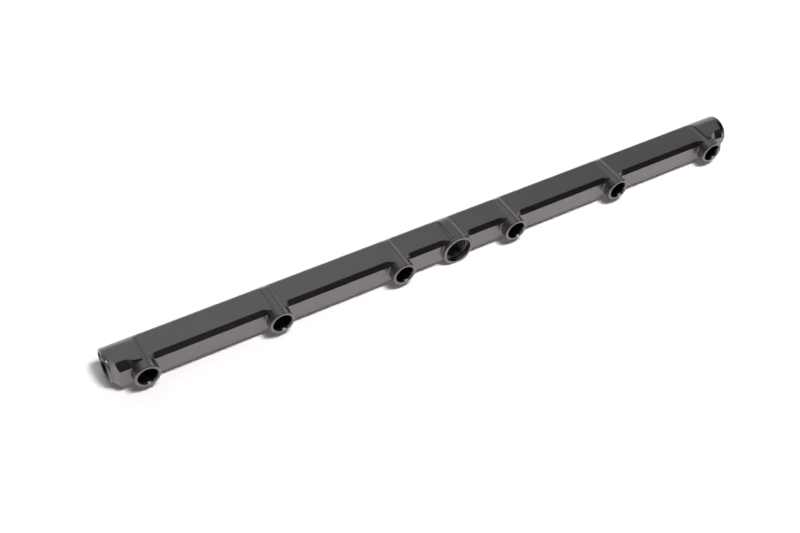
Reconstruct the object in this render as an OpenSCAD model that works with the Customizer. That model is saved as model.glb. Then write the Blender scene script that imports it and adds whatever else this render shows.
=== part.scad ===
// Fuel rail for a straight-six engine, machined from one aluminium bar and black anodised.
// Millimetres. +Z is up, X runs along the rail and the injector cups face -Y.
// The origin is on the surface that the rail lies on, at the middle of its footprint.

/* [Bar and rib] */
// Outer diameter of the round bar that holds the gallery
body_d = 24.8; // [24:0.1:27]
// Diameter of the fuel gallery bored through the bar
gallery_d = 15; // [12:0.5:16]
// Height of the injector cup axes above the bar axis
cup_rise = 2.3; // [2:0.1:2.6]
// Distance from the bar axis to the flat front face of the rib
front_reach = 16; // [15.5:0.1:17]
// Depth of the rib below the cup axes
rib_below = 9.7; // [9.4:0.1:10.5]
// Size of the 45 degree chamfer along the top of the rib
rib_chamfer = 4.9; // [4.2:0.1:5.2]
// Radius at the front face of the 45 degree cutter that mills the chamfer
chamfer_cutter_r = 6.35; // [5.5:0.05:7]
// Small edge break along the bottom of the rib
edge_break = 0.5; // [0.2:0.1:1]

/* [Length] */
// Distance between neighbouring injector cups
cup_pitch = 97; // [80:0.5:110]
// Number of injector cups
cup_count = 6; // [2:2:8]
// Distance from the first cup axis to the left end face
left_overhang = 21.8; // [20:0.1:30]
// Distance from the last cup axis to the right end face
right_overhang = 24.4; // [20:0.1:30]
// Distance from an end cup axis to the end of the rib
rib_past_cup = 15.8; // [13.5:0.1:18]
// Chamfer on the outer edge of each end face
end_chamfer = 0.8; // [0.3:0.1:1.2]

/* [Milled top] */
// Height of the milled flats above the cup axes
flat_h = 8.4; // [8:0.1:8.8]
// Radius that the cutter leaves where a flat runs out
flat_fillet = 3; // [2.2:0.1:5]
// Width of the crest left standing over the centre port
crest_w = 7; // [2:0.5:12]

/* [Injector cups] */
// Distance from the bar axis to the mouth of a cup
cup_reach = 23.4; // [22:0.1:27]
// Outer diameter of a cup
cup_d = 18.3; // [18:0.1:18.6]
// Bore that takes the injector's upper O-ring
cup_bore_d = 13.55; // [12:0.05:14.4]
// Depth of the cup bore below the mouth
cup_bore_depth = 12; // [8:0.1:12.5]
// Diameter of the lead-in at the mouth
cup_mouth_d = 14.7; // [14.5:0.1:16.5]
// Depth of the lead-in
cup_lead_in = 1.2; // [0.5:0.1:2]
// Fillet between a cup or the centre boss and the front face
root_fillet = 0.6; // [0.3:0.1:1]
// Feed hole from the cup to the gallery
feed_d = 8; // [4:0.5:9]
// Edge break round the mouth of each cup and of the centre port
rim_break = 0.3; // [0.1:0.1:0.6]

/* [Ports] */
// Major diameter of the 3/4-16 straight thread
port_thread_d = 19.05; // [17:0.05:19.1]
// Depth of the threaded hole below the mouth
port_depth = 15; // [13:0.5:16]
// Mouth diameter of the conical O-ring seat
seat_d = 20.6; // [20.4:0.1:21.4]
// Depth of the conical O-ring seat
seat_depth = 2.3; // [1.5:0.1:2.4]
// Half angle of the conical O-ring seat
seat_angle = 15; // [12:1:15]
// Distance from the bar axis to the mouth of the centre port
centre_reach = 19; // [18.5:0.1:22]

/* [Bracket holes] */
// Major diameter of the M4 tapped holes in the underside of the rib
bracket_hole_d = 4; // [3:0.5:4]
// Depth of the tapped holes
bracket_hole_depth = 8; // [6:0.5:12]
// Distance from the front face of the rib to the axis of a tapped hole
bracket_set_back = 3.3; // [2.8:0.1:3.4]

/* [Hidden] */
$fn = 96;
eps = 0.01;

body_r = body_d / 2;
bar_y = (cup_reach - body_r) / 2;
bar_z = body_r;
cup_r = cup_d / 2;
cup_span = cup_pitch * (cup_count - 1);
first_cup_x = -cup_span / 2 + (left_overhang - right_overhang) / 2;
last_cup_x = first_cup_x + cup_span;
left_x = first_cup_x - left_overhang;
right_x = last_cup_x + right_overhang;
rail_len = right_x - left_x;
centre_x = (first_cup_x + last_cup_x) / 2;
cup_xs = [for (i = [0 : cup_count - 1]) first_cup_x + i * cup_pitch];
bracket_xs = [first_cup_x + cup_pitch / 2, last_cup_x - cup_pitch / 2];

// Heights above the cup axes.
rib_top = body_r - cup_rise;
facet_z = rib_top - rib_chamfer;
face_bottom = edge_break - rib_below;

// Length of the curve that a flat runs out in, from the floor to the edge at the top.
flat_step = rib_top - flat_h;
run_out = sqrt(2 * flat_fillet * flat_step - pow(flat_step, 2));

// Places its children at a distance along the rail, with the bar axis as the origin.
module at_bar(x = 0) {
    translate([x, bar_y, bar_z]) children();
}

// The same, at the height of the cup axes.
module at_cups(x = 0) {
    translate([x, bar_y, bar_z + cup_rise]) children();
}

// Turns a shape made along +Z so that it runs from the bar axis out towards the cups.
module facing_front() {
    rotate([90, 0, 0]) children();
}

// Turns a shape made along +Z so that it runs along the rail, to the right.
module along_rail() {
    rotate([0, 90, 0]) children();
}

// The round bar, with a chamfered edge at each end face.
module round_bar() {
    at_bar(left_x) along_rail() rotate_extrude() polygon([
        [0, 0],
        [body_r - end_chamfer, 0],
        [body_r, end_chamfer],
        [body_r, rail_len - end_chamfer],
        [body_r - end_chamfer, rail_len],
        [0, rail_len]
    ]);
}

// The front rib that the cups stand on. Its top is flush with the top of the bar.
module front_rib() {
    rib_len = cup_span + 2 * rib_past_cup;
    at_cups(first_cup_x - rib_past_cup) rotate([90, 0, 90]) linear_extrude(height = rib_len)
        polygon([
            [0, -rib_below],
            [-front_reach + edge_break, -rib_below],
            [-front_reach, -rib_below + edge_break],
            [-front_reach, facet_z],
            [-front_reach + rib_chamfer, rib_top],
            [0, rib_top]
        ]);
}

// What the cutter takes off the top between two edges, with a round run-out at each.
module flat_cut(x0, x1) {
    depth = 3 * cup_reach;
    at_cups() translate([0, depth / 2, flat_h]) {
        translate([x0 + run_out, -depth, 0]) cube([x1 - x0 - 2 * run_out, depth, body_r]);
        for (x = [x0 + run_out, x1 - run_out])
            translate([x, 0, flat_fillet]) facing_front() cylinder(r = flat_fillet, h = depth);
    }
}

// The outside of a round boss, from the bar axis to its mouth.
module boss_barrel(radius, reach) {
    facing_front() rotate_extrude() polygon([
        [0, 0],
        [radius, 0],
        [radius, reach - rim_break],
        [radius - rim_break, reach],
        [0, reach]
    ]);
}

// The small fillet where a boss meets the front face, which ends at the edges of that face.
module boss_root(radius, face_bottom, face_top) {
    corner = [radius + root_fillet, front_reach + root_fillet];
    intersection() {
        facing_front() rotate_extrude() difference() {
            polygon([[radius - 1, front_reach - 1], [corner[0], front_reach - 1],
                [corner[0], front_reach], [radius, corner[1]], [radius - 1, corner[1]]]);
            translate(corner) circle(r = root_fillet);
        }
        translate([-2 * radius, -cup_reach, face_bottom])
            cube([4 * radius, cup_reach, face_top - face_bottom]);
    }
}

// Where the chamfer cutter turns from the rib onto a boss, as [x, z] from the boss axis.
function cutter_turn(radius, edge_z) = [
    sqrt(pow(radius + chamfer_cutter_r, 2) - pow(edge_z + chamfer_cutter_r, 2)),
    edge_z + chamfer_cutter_r
];

// The cutter itself, standing in a turn: full size at the front face, smaller further in.
module chamfer_cutter() {
    translate([0, -front_reach, 0]) rotate([-90, 0, 0])
        cylinder(r1 = chamfer_cutter_r, r2 = chamfer_cutter_r - rib_chamfer, h = rib_chamfer);
}

// The metal that the chamfer cutter leaves round a boss, which flares out into the rib. The
// lower edge of the chamfer lies edge_z above the boss axis, and the top of the rib top_z above.
module chamfer_flare(radius, edge_z, top_z) {
    turn = cutter_turn(radius, edge_z);
    intersection() {
        union() {
            facing_front() rotate_extrude() polygon([
                [0, 0],
                [radius + rib_chamfer, 0],
                [radius + rib_chamfer, front_reach - rib_chamfer],
                [radius, front_reach],
                [0, front_reach]
            ]);
            for (side = [0, 1]) mirror([side, 0, 0]) difference() {
                facing_front() linear_extrude(height = front_reach)
                    polygon([[0, 0], [turn[0], 0], turn]);
                translate([turn[0], 0, turn[1]]) chamfer_cutter();
            }
        }
        translate([-2 * radius, -front_reach, 0]) cube([4 * radius, front_reach, top_z]);
    }
}

// The low ridge that a cup leaves across the milled flat, back to the round of the bar.
module cup_ridge() {
    intersection() {
        translate([0, body_r, 0]) facing_front() cylinder(r = cup_r, h = body_r + 1);
        translate([-cup_d, 0, -cup_rise]) along_rail() cylinder(r = body_r, h = 2 * cup_d);
    }
}

// The hole that takes an injector, with its lead-in and the feed to the gallery.
module cup_bore() {
    translate([0, -cup_reach, 0]) rotate([-90, 0, 0]) {
        cylinder(d = cup_bore_d, h = cup_bore_depth);
        cylinder(d = feed_d, h = cup_reach);
        translate([0, 0, -eps])
            cylinder(d1 = cup_mouth_d, d2 = cup_bore_d, h = cup_lead_in + eps);
    }
}

// A straight-thread O-ring port, made along +Z into the metal from its mouth at zero.
module port_hole() {
    seat_floor_r = seat_d / 2 - seat_depth * tan(seat_angle);
    cylinder(d = port_thread_d, h = port_depth);
    translate([0, 0, -eps]) cylinder(r1 = seat_d / 2, r2 = seat_floor_r, h = seat_depth + eps);
}

// A tapped bracket hole, from the underside of the rib up into the metal in front of the gallery.
module bracket_hole() {
    translate([0, bracket_set_back - front_reach, -rib_below - eps])
        cylinder(d = bracket_hole_d, h = bracket_hole_depth + eps);
}

module rail_body() {
    color("#4A494B") difference() {
        union() {
            difference() {
                union() {
                    round_bar();
                    front_rib();
                    for (x = cup_xs) at_cups(x) chamfer_flare(cup_r, facet_z, rib_top);
                    at_bar(centre_x) chamfer_flare(body_r, facet_z + cup_rise, body_r);
                }
                flat_cut(first_cup_x, centre_x - crest_w / 2);
                flat_cut(centre_x + crest_w / 2, last_cup_x);
            }
            for (x = cup_xs) at_cups(x) {
                boss_root(cup_r, face_bottom, facet_z);
                boss_barrel(cup_r, cup_reach);
                cup_ridge();
            }
            at_bar(centre_x) {
                boss_root(body_r, face_bottom + cup_rise, facet_z + cup_rise);
                boss_barrel(body_r, centre_reach);
            }
        }
        at_bar(left_x - 1) along_rail() cylinder(d = gallery_d, h = rail_len + 2);
        at_bar(left_x) along_rail() port_hole();
        at_bar(right_x) rotate([0, -90, 0]) port_hole();
        at_bar(centre_x) translate([0, -centre_reach, 0]) rotate([-90, 0, 0]) port_hole();
        for (x = cup_xs) at_cups(x) cup_bore();
        for (x = bracket_xs) at_cups(x) bracket_hole();
    }
}

rail_body();
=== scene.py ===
import math

import bpy
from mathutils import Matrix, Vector


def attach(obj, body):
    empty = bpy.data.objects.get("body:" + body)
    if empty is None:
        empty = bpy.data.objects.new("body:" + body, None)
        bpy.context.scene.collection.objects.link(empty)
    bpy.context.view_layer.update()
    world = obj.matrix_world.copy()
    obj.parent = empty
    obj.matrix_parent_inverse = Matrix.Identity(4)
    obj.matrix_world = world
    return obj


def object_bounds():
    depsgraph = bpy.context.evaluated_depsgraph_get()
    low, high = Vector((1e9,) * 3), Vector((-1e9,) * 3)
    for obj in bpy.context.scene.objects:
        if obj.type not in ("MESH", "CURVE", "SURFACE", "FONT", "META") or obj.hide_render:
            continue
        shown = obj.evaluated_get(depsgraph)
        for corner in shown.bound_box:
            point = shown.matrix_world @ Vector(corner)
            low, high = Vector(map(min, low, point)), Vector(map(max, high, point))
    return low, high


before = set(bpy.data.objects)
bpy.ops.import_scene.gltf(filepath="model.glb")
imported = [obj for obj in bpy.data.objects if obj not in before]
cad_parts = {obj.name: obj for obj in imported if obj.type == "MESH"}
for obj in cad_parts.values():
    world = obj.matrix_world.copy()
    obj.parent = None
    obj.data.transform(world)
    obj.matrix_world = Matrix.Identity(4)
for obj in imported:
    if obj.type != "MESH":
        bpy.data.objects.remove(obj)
cad_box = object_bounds()


# The rail: one aluminium bar, milled, bored and black anodised. The sealed oxide is thin, so
# the metal under the dye still mirrors what is round it, softly and in a dark grey. The cutter's
# lay runs along the bar as faint streaks, drawn coarser than the real 0.1 mm so that they show.
MM = 0.001
ANODISED_LIGHT = "#7E7B7D"
ANODISED_DARK = "#767375"
ANODISED_ROUGHNESS = 0.3
ROUGHNESS_SPREAD = 0.05
DYE_PATCH = 12 * MM
DYE_DETAIL = 3.0
LAY_SPACING = 0.6 * MM
LAY_LENGTH = 50 * MM
LAY_HEIGHT = 0.006 * MM
LAY_DETAIL = 2.0

# A Mix node has sockets for each type of data, and these are the numbers of those for colours.
MIX_COLOUR_A = 6
MIX_COLOUR_B = 7
MIX_COLOUR_RESULT = 2


def linear(hex_colour):
    """Turns an sRGB hex colour into linear red, green, blue and alpha."""
    channels = [int(hex_colour[i : i + 2], 16) / 255 for i in (1, 3, 5)]
    bent = [c / 12.92 if c <= 0.04045 else ((c + 0.055) / 1.055) ** 2.4 for c in channels]
    return (*bent, 1.0)


def add_node(tree, kind, inputs, **settings):
    """Adds a node, sets its properties and fills its inputs with values or with links."""
    node = tree.nodes.new(kind)
    for name, value in settings.items():
        setattr(node, name, value)
    for key, value in inputs.items():
        if isinstance(value, bpy.types.NodeSocket):
            tree.links.new(value, node.inputs[key])
        else:
            node.inputs[key].default_value = value
    return node


anodised = bpy.data.materials.new("black_anodised_aluminium")
anodised.use_nodes = True
tree = anodised.node_tree
shader = tree.nodes["Principled BSDF"]
shader.inputs["Metallic"].default_value = 1.0
coordinates = add_node(tree, "ShaderNodeTexCoord", {}).outputs["Object"]

patches = add_node(
    tree,
    "ShaderNodeTexNoise",
    {"Vector": coordinates, "Scale": 1 / DYE_PATCH, "Detail": DYE_DETAIL},
)
dye = add_node(
    tree,
    "ShaderNodeMix",
    {
        "Factor": patches.outputs["Fac"],
        MIX_COLOUR_A: linear(ANODISED_DARK),
        MIX_COLOUR_B: linear(ANODISED_LIGHT),
    },
    data_type="RGBA",
)
tree.links.new(dye.outputs[MIX_COLOUR_RESULT], shader.inputs["Base Color"])

along_bar = add_node(
    tree,
    "ShaderNodeMapping",
    {"Vector": coordinates, "Scale": (1 / LAY_LENGTH, 1 / LAY_SPACING, 1 / LAY_SPACING)},
)
lay = add_node(
    tree,
    "ShaderNodeTexNoise",
    {"Vector": along_bar.outputs["Vector"], "Scale": 1.0, "Detail": LAY_DETAIL},
).outputs["Fac"]
gloss = add_node(
    tree,
    "ShaderNodeMapRange",
    {
        "Value": lay,
        "To Min": ANODISED_ROUGHNESS - ROUGHNESS_SPREAD,
        "To Max": ANODISED_ROUGHNESS + ROUGHNESS_SPREAD,
    },
)
tree.links.new(gloss.outputs["Result"], shader.inputs["Roughness"])
streaks = add_node(tree, "ShaderNodeBump", {"Height": lay, "Strength": 1.0, "Distance": LAY_HEIGHT})
tree.links.new(streaks.outputs["Normal"], shader.inputs["Normal"])

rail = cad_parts["rail_body"]
rail.data.materials.clear()
rail.data.materials.append(anodised)
for polygon in rail.data.polygons:
    polygon.material_index = 0


# The rib's ends: the bar was turned down to its round at both ends, so the rib runs out in a
# cone round the bar's axis. It is the same metal as the rail. The solid's rib ends square, and
# the cone starts there at the radius of the rib's lower corner.
LEFT_END_X = cad_box[0][0]
RIGHT_END_X = cad_box[1][0]
CUP_MOUTH_Y = cad_box[0][1]
TOP_Z = cad_box[1][2]
CUP_REACH = 23.4 * MM
RIB_REACH = 16 * MM
BAR_RADIUS = TOP_Z / 2
BAR_AXIS_Y = CUP_MOUTH_Y + CUP_REACH
BAR_AXIS_Z = BAR_RADIUS
RIB_FRONT_Y = BAR_AXIS_Y - RIB_REACH
RIB_BOTTOM_Z = 5 * MM
RIB_CHAMFER = 4.9 * MM
RIB_CORNER_RADIUS = math.hypot(BAR_AXIS_Y - RIB_FRONT_Y, BAR_AXIS_Z - RIB_BOTTOM_Z)
CONE_LENGTH = 4.3 * MM
CONE_SUNK = 0.25 * MM
CONE_STEPS = 180
CONE_MERGE = 0.001 * MM
CONE_CUT_TOLERANCE = 0.0001 * MM
CONE_SMOOTH_BELOW = math.radians(20)

# Where the solid's rib ends, and which way is outwards along the rail.
RIB_ENDS = {
    "left": (LEFT_END_X + 6 * MM, -1),
    "right": (RIGHT_END_X - 8.6 * MM, 1),
}

# The planes that bound the rib and cut the cone, each as a point (y, z) and the way out (y, z).
RIB_PLANES = [
    ((BAR_AXIS_Y, BAR_AXIS_Z), (1, 0)),
    ((BAR_AXIS_Y, TOP_Z), (0, 1)),
    ((BAR_AXIS_Y, RIB_BOTTOM_Z), (0, -1)),
    ((RIB_FRONT_Y, BAR_AXIS_Z), (-1, 0)),
    ((RIB_FRONT_Y, TOP_Z - RIB_CHAMFER), (-1, 1)),
]

for side, (end_x, outwards) in RIB_ENDS.items():
    inner = BAR_RADIUS - CONE_SUNK
    section = [(CONE_LENGTH + CONE_SUNK, inner), (0.0, RIB_CORNER_RADIUS), (0.0, inner)]
    bpy.ops.object.select_all(action="DESELECT")
    bpy.ops.mesh.primitive_circle_add(
        vertices=len(section), fill_type="NOTHING", location=(0.0, 0.0, 0.0)
    )
    cone = bpy.context.object
    cone.name = f"rib_end_{side}"
    for vertex, (along, radius) in zip(cone.data.vertices, section):
        vertex.co = (end_x + outwards * along, BAR_AXIS_Y, BAR_AXIS_Z + radius)
    bpy.ops.object.mode_set(mode="EDIT")
    bpy.ops.mesh.select_all(action="SELECT")
    bpy.ops.mesh.spin(
        steps=CONE_STEPS,
        angle=2 * math.pi,
        center=(0.0, BAR_AXIS_Y, BAR_AXIS_Z),
        axis=(1.0, 0.0, 0.0),
    )
    bpy.ops.mesh.select_all(action="SELECT")
    bpy.ops.mesh.remove_doubles(threshold=CONE_MERGE)
    for (y, z), (out_y, out_z) in RIB_PLANES:
        bpy.ops.mesh.select_all(action="SELECT")
        bpy.ops.mesh.bisect(
            plane_co=(0.0, y, z),
            plane_no=(0.0, out_y, out_z),
            use_fill=True,
            clear_outer=True,
            threshold=CONE_CUT_TOLERANCE,
        )
    bpy.ops.mesh.select_all(action="SELECT")
    bpy.ops.mesh.normals_make_consistent(inside=False)
    bpy.ops.object.mode_set(mode="OBJECT")
    bpy.ops.object.shade_smooth_by_angle(angle=CONE_SMOOTH_BELOW)
    cone.data.materials.append(anodised)
    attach(cone, "root")


# The threads: cut in the same bar, straight 3/4-16 in the three ports and M4 in the two bracket
# holes. The solid's holes have the threads' outer diameter, and each ridge stands on that wall,
# wound from a section of about 60 degrees that fades over the first and the last quarter turn.
CUP_PITCH = 97 * MM
CENTRE_PORT_REACH = 19 * MM
BRACKET_SET_BACK = 3.3 * MM
CENTRE_PORT_X = -1.3 * MM
CENTRE_PORT_Y = BAR_AXIS_Y - CENTRE_PORT_REACH
BRACKET_LEFT_X = CENTRE_PORT_X - 2 * CUP_PITCH
BRACKET_RIGHT_X = CENTRE_PORT_X + 2 * CUP_PITCH
BRACKET_Y = RIB_FRONT_Y + BRACKET_SET_BACK
RIDGE_SUNK = 0.03 * MM
ROOT_SHARE = 0.875
CREST_SHARE = 0.25
SECTION_CORNERS = 4
CREST_CORNERS = (1, 2)
FADE_TURNS = 0.25

# Start and end are depths below the hole's mouth, wall and crest are radii, and steps are those
# in one turn.
PORT_THREAD = {
    "start": 2.3 * MM,
    "end": 15 * MM,
    "wall": 9.525 * MM,
    "crest": 8.75 * MM,
    "pitch": 25.4 / 16 * MM,
    "steps": 48,
}
BRACKET_THREAD = {
    "start": 0.0,
    "end": 8 * MM,
    "wall": 2 * MM,
    "crest": 1.62 * MM,
    "pitch": 0.7 * MM,
    "steps": 24,
}

# Each threaded hole: its thread, the middle of its mouth and the way in.
THREADED_HOLES = {
    "port_thread_left": (PORT_THREAD, (LEFT_END_X, BAR_AXIS_Y, BAR_AXIS_Z), (1, 0, 0)),
    "port_thread_centre": (PORT_THREAD, (CENTRE_PORT_X, CENTRE_PORT_Y, BAR_AXIS_Z), (0, 1, 0)),
    "port_thread_right": (PORT_THREAD, (RIGHT_END_X, BAR_AXIS_Y, BAR_AXIS_Z), (-1, 0, 0)),
    "bracket_thread_left": (BRACKET_THREAD, (BRACKET_LEFT_X, BRACKET_Y, RIB_BOTTOM_Z), (0, 0, 1)),
    "bracket_thread_right": (BRACKET_THREAD, (BRACKET_RIGHT_X, BRACKET_Y, RIB_BOTTOM_Z), (0, 0, 1)),
}


def fade_ends(ridge, wall, crest, steps):
    """Lets the crest of a wound ridge grow from the wall and sink back into it."""
    last_ring = len(ridge.data.vertices) // SECTION_CORNERS - 1
    for index, vertex in enumerate(ridge.data.vertices):
        ring, corner = divmod(index, SECTION_CORNERS)
        if corner in CREST_CORNERS:
            turns_from_end = min(ring, last_ring - ring) / steps
            grown = min(1.0, turns_from_end / FADE_TURNS)
            vertex.co.xy *= (wall + (crest - wall) * grown) / crest


def thread_ridge(name, mouth, inwards, start, end, wall, crest, pitch, steps):
    """Winds one right-hand ridge from its start to its end depth below the mouth of a hole."""
    rings = int(((end - start) / pitch - ROOT_SHARE) * steps)
    turns = rings / steps
    half_root = pitch * ROOT_SHARE / 2
    half_crest = pitch * CREST_SHARE / 2
    middle = start + half_root
    section = [
        (wall + RIDGE_SUNK, middle - half_root),
        (crest, middle - half_crest),
        (crest, middle + half_crest),
        (wall + RIDGE_SUNK, middle + half_root),
    ]
    bpy.ops.object.select_all(action="DESELECT")
    bpy.ops.mesh.primitive_circle_add(
        vertices=SECTION_CORNERS, fill_type="NOTHING", location=(0.0, 0.0, 0.0)
    )
    ridge = bpy.context.object
    ridge.name = name
    for vertex, (radius, depth) in zip(ridge.data.vertices, section):
        vertex.co = (radius, 0.0, depth)
    winding = ridge.modifiers.new("winding", "SCREW")
    winding.angle = 2 * math.pi * turns
    winding.screw_offset = pitch * turns
    winding.steps = rings
    winding.render_steps = rings
    bpy.ops.object.modifier_apply(modifier=winding.name)
    fade_ends(ridge, wall, crest, steps)
    bpy.ops.object.mode_set(mode="EDIT")
    bpy.ops.mesh.select_all(action="SELECT")
    bpy.ops.mesh.fill_holes(sides=SECTION_CORNERS)
    bpy.ops.mesh.normals_make_consistent(inside=False)
    bpy.ops.object.mode_set(mode="OBJECT")
    ridge.location = mouth
    ridge.rotation_euler = Vector(inwards).to_track_quat("Z", "Y").to_euler()
    bpy.ops.object.transform_apply(location=True, rotation=True, scale=True)
    ridge.data.materials.append(anodised)
    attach(ridge, "root")


for name, (thread, mouth, inwards) in THREADED_HOLES.items():
    thread_ridge(name, mouth, inwards, **thread)


# The floor: a matt white sweep that the rail lies on. Away from the rail it is lifted to plain
# white for the camera and for what the metal mirrors, and round the rail it keeps the shadow.
FLOOR_SIZE = 12.0
FLOOR_WHITE = "#FFFBFB"
FLOOR_ROUGHNESS = 0.9
WHITE_LIGHT = (1.0, 1.0, 1.0, 1.0)
LIFT_NEAR = 0.05
LIFT_FAR = 0.8
LIFT_REACH_X = 0.7
LIFT_REACH_Y = 0.3
LIFT_START_SHARE = 0.4

bpy.ops.object.select_all(action="DESELECT")
bpy.ops.mesh.primitive_plane_add(size=FLOOR_SIZE, location=(0.0, 0.0, 0.0))
floor = bpy.context.object
floor.name = "floor"
paper = bpy.data.materials.new("white_paper_sweep")
paper.use_nodes = True
tree = paper.node_tree
shader = tree.nodes["Principled BSDF"]
shader.inputs["Base Color"].default_value = linear(FLOOR_WHITE)
shader.inputs["Roughness"].default_value = FLOOR_ROUGHNESS
shader.inputs["Specular IOR Level"].default_value = 0.0
shader.inputs["Emission Color"].default_value = WHITE_LIGHT
coordinates = add_node(tree, "ShaderNodeTexCoord", {}).outputs["Object"]
oval = add_node(
    tree,
    "ShaderNodeMapping",
    {"Vector": coordinates, "Scale": (1 / LIFT_REACH_X, 1 / LIFT_REACH_Y, 0.0)},
)
away = add_node(tree, "ShaderNodeVectorMath", {0: oval.outputs["Vector"]}, operation="LENGTH")
lift_here = add_node(
    tree,
    "ShaderNodeMapRange",
    {
        "Value": away.outputs["Value"],
        "From Min": LIFT_START_SHARE,
        "From Max": 1.0,
        "To Min": LIFT_NEAR,
        "To Max": LIFT_FAR,
    },
)
rays = add_node(tree, "ShaderNodeLightPath", {})
seen = add_node(
    tree,
    "ShaderNodeMath",
    {0: rays.outputs["Is Camera Ray"], 1: rays.outputs["Is Glossy Ray"]},
    operation="MAXIMUM",
)
lift = add_node(
    tree,
    "ShaderNodeMath",
    {0: seen.outputs["Value"], 1: lift_here.outputs["Result"]},
    operation="MULTIPLY",
)
tree.links.new(lift.outputs["Value"], shader.inputs["Emission Strength"])
floor.data.materials.append(paper)


# The light: a white sweep round the back fades up into the grey ceiling that the milled top
# mirrors. The camera's side is dark, so the chamfer along the rib stays black. Softboxes: one
# overhead for the floor, a small one for the glints, and one each far to the left and right.

# Each softbox: its place, what it faces, its width and height in metres and its power in watts.
SOFTBOXES = {
    "softbox_over": ((0.2, -0.55, 1.45), (0.0, 0.0, 0.0), (0.35, 0.35), 21.0),
    "softbox_glint": ((-0.1, -0.45, 1.4), (-0.2, 0.0, 0.0), (0.3, 0.3), 3.0),
    "softbox_left": ((-2.05, -0.6, 1.1), (-0.244, 0.0, 0.0), (0.6, 0.6), 1.4),
    "softbox_right": ((1.8, 1.5, 0.85), (0.0, 0.0, 0.0), (0.9, 0.5), 1.2),
}

# Each fade of the room's level: the axis that it runs along, its start and end there as parts of
# a direction of length one, and its level at either. A name there is the fade of that name.
ROOM_FADES = {
    "ceiling": ("X", 0.35, 0.62, 0.57, 0.28),
    "horizon": ("X", 0.66, 0.85, 1.05, 0.6),
    "back": ("Z", 0.04, 0.42, "horizon", "ceiling"),
    "front": ("Z", 0.0, 0.42, 0.5, 0.02),
    "all_round": ("Y", -0.1, 0.45, "front", "back"),
    "left_share": ("X", -0.6, -0.05, 0.25, 1.0),
}

for name, (place, aim, (width, height), power) in SOFTBOXES.items():
    lamp = bpy.data.lights.new(name, "AREA")
    lamp.shape = "RECTANGLE"
    lamp.size = width
    lamp.size_y = height
    lamp.energy = power
    softbox = bpy.data.objects.new(name, lamp)
    softbox.location = place
    softbox.rotation_euler = (Vector(aim) - Vector(place)).to_track_quat("-Z", "Y").to_euler()
    bpy.context.scene.collection.objects.link(softbox)
bpy.data.objects["softbox_over"].visible_glossy = False

room = bpy.data.worlds.new("room")
bpy.context.scene.world = room
room.use_nodes = True
tree = room.node_tree
tree.nodes.clear()
facing = add_node(tree, "ShaderNodeTexCoord", {}).outputs["Generated"]
facing_axes = add_node(tree, "ShaderNodeSeparateXYZ", {"Vector": facing}).outputs
levels = {}
for name, (axis, start, end, at_start, at_end) in ROOM_FADES.items():
    levels[name] = add_node(
        tree,
        "ShaderNodeMapRange",
        {
            "Value": facing_axes[axis],
            "From Min": start,
            "From Max": end,
            "To Min": levels.get(at_start, at_start),
            "To Max": levels.get(at_end, at_end),
        },
        interpolation_type="SMOOTHSTEP",
    ).outputs["Result"]
level = add_node(
    tree,
    "ShaderNodeMath",
    {0: levels["all_round"], 1: levels["left_share"]},
    operation="MULTIPLY",
)
grey = add_node(
    tree,
    "ShaderNodeBackground",
    {"Color": WHITE_LIGHT, "Strength": level.outputs["Value"]},
)
white = add_node(tree, "ShaderNodeBackground", {"Color": WHITE_LIGHT, "Strength": 1.0})
rays = add_node(tree, "ShaderNodeLightPath", {})
seen = add_node(
    tree,
    "ShaderNodeMixShader",
    {
        0: rays.outputs["Is Camera Ray"],
        1: grey.outputs["Background"],
        2: white.outputs["Background"],
    },
)
add_node(tree, "ShaderNodeOutputWorld", {"Surface": seen.outputs["Shader"]})


# The camera: a 50 mm lens on a full frame, a little beyond the rail's left end, in front of it
# and above. Its place and turn come from the six cup mouths and the long edges in the photo.
LENS_MM = 50.0
SENSOR_MM = 36.0
CAMERA_PLACE = (-352.85 * MM, -478.37 * MM, 587.38 * MM)
CAMERA_TURN_DEG = (44.2648, -2.3864, -30.4925)
CLIP_START = 0.01
CLIP_END = 50.0

camera_data = bpy.data.cameras.new("camera")
camera_data.lens = LENS_MM
camera_data.sensor_width = SENSOR_MM
camera_data.clip_start = CLIP_START
camera_data.clip_end = CLIP_END
camera = bpy.data.objects.new("camera", camera_data)
camera.location = CAMERA_PLACE
camera.rotation_euler = [math.radians(angle) for angle in CAMERA_TURN_DEG]
bpy.context.scene.collection.objects.link(camera)
bpy.context.scene.camera = camera
bpy.context.scene.view_settings.view_transform = "Standard"
